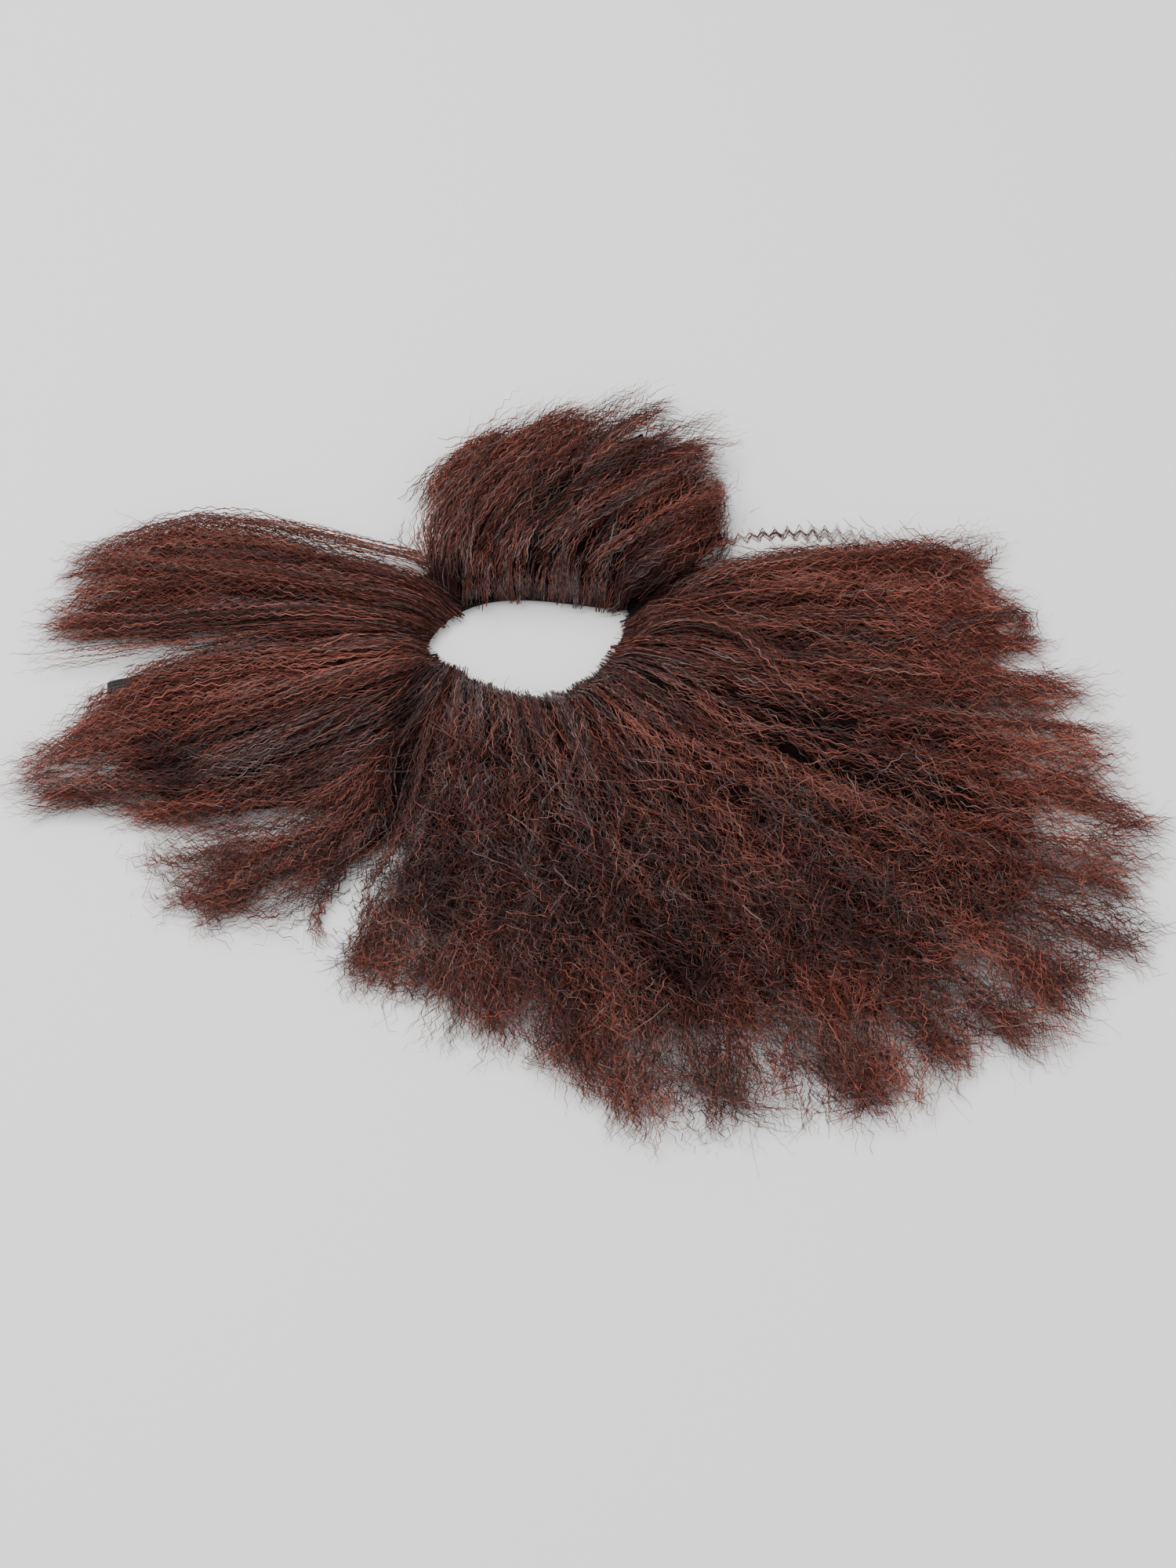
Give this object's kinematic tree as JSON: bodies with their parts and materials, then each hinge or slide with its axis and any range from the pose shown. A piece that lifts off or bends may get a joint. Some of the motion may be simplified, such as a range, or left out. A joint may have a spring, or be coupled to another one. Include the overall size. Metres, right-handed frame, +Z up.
{
  "type": "fake beard",
  "caption": "Long crimped auburn costume beard on a cloth base with a mouth opening and an elastic strap, laid flat.",
  "frame": {"origin": "centre of the bounding box in plan, on the surface that the beard lies on", "axes": "+X along the mouth opening towards the long right side, +Y from chin to moustache, +Z up, out of the hair side"},
  "size_m": [0.3866, 0.3098, 0.0294],
  "materials": {
    "base_cloth": "matt black cloth",
    "elastic": "woven black elastic",
    "hair": "crimped synthetic hair, dark auburn, soft sheen"
  },
  "bodies": {
    "root": {"backing": "base_cloth", "elastic_strap": "elastic", "moustache_hair": "hair", "left_cheek_hair": "hair", "left_jaw_hair": "hair", "left_under_lock": "hair", "chin_hair": "hair", "right_jaw_hair": "hair", "right_cheek_hair": "hair"}
  },
  "joints": []
}
